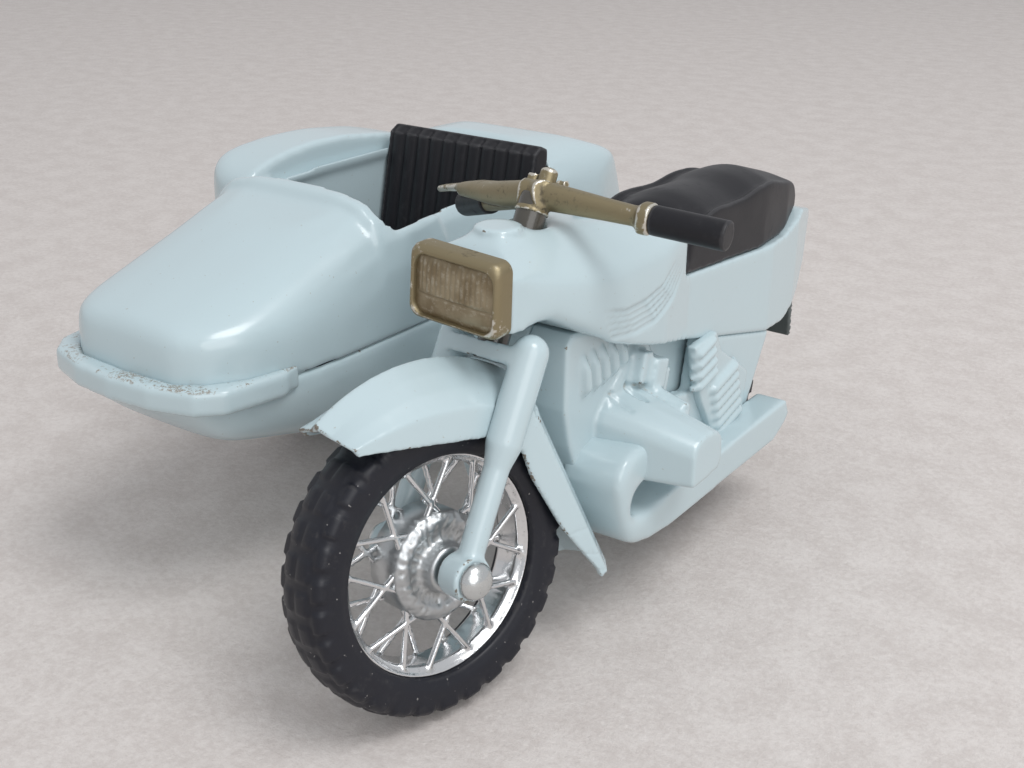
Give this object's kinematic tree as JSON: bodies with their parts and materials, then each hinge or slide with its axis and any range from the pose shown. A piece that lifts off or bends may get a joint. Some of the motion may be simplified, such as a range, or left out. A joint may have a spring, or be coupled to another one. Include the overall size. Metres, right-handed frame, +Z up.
{
  "type": "toy sidecar motorcycle",
  "caption": "Small toy motorcycle with a sidecar: steerable fork with mudguard, spoked wheels that turn, black seats and a hollow sidecar cockpit.",
  "frame": {"origin": "on the floor, under the middle of the whole toy as it stands", "axes": "-Y towards the front of the toy, +X towards the rider's left, away from the sidecar, +Z up"},
  "size_m": [0.0728, 0.0886, 0.0453],
  "materials": {
    "paint": "glossy pale blue paint, chipped along the edges",
    "seat_black": "black moulded plastic",
    "grip_black": "black moulded plastic",
    "gold_plate": "worn dull gold plating",
    "lens": "worn plated plastic with vertical flutes",
    "chrome": "bright plated plastic",
    "steel": "steel pin",
    "tyre": "black rubber with block tread",
    "dark_strip": "dull dark grey"
  },
  "bodies": {
    "chassis": {"body_shell": "paint", "motorcycle_seat": "seat_black", "headlight_bezel": "gold_plate", "headlight_lens": "lens", "engine_left": "paint", "engine_right": "paint", "exhaust_left": "paint", "exhaust_right": "paint", "rear_frame_left": "paint", "rear_frame_right": "paint", "shock_left": "paint", "shock_right": "paint", "rear_mudguard": "dark_strip", "rear_axle": "steel", "sidecar_shell": "paint", "sidecar_pan": "paint", "sidecar_bumper": "paint", "sidecar_seat_base": "seat_black", "sidecar_seat_back": "seat_black", "sidecar_arms": "paint", "sidecar_axle": "steel"},
    "fork": {"fork_casting": "paint", "front_mudguard": "paint", "steering_stem": "paint", "handlebar": "gold_plate", "instrument_pods": "gold_plate", "grip_left": "grip_black", "grip_right": "grip_black", "front_axle": "steel"},
    "front_wheel": {"front_rim": "chrome", "front_tyre": "tyre"},
    "rear_wheel": {"rear_rim": "chrome", "rear_tyre": "tyre"},
    "sidecar_wheel": {"sidecar_rim": "chrome", "sidecar_tyre": "tyre"}
  },
  "joints": [
    {"name": "steering", "type": "hinge", "parent": "chassis", "child": "fork", "pos_m": [0.01838, -0.03024, 0.0141], "axis": [0, 0.4772, 0.8788], "range_deg": [-5, 35]},
    {"name": "front_wheel_spin", "type": "hinge", "parent": "fork", "child": "front_wheel", "pos_m": [0.01838, -0.03024, 0.0141], "axis": [0.9659, -0.2275, 0.1235], "continuous": true},
    {"name": "rear_wheel_spin", "type": "hinge", "parent": "chassis", "child": "rear_wheel", "pos_m": [0.01838, 0.01576, 0.014], "axis": [1, 0, 0], "continuous": true},
    {"name": "sidecar_wheel_spin", "type": "hinge", "parent": "chassis", "child": "sidecar_wheel", "pos_m": [-0.03112, 0.01076, 0.014], "axis": [1, 0, 0], "continuous": true}
  ]
}
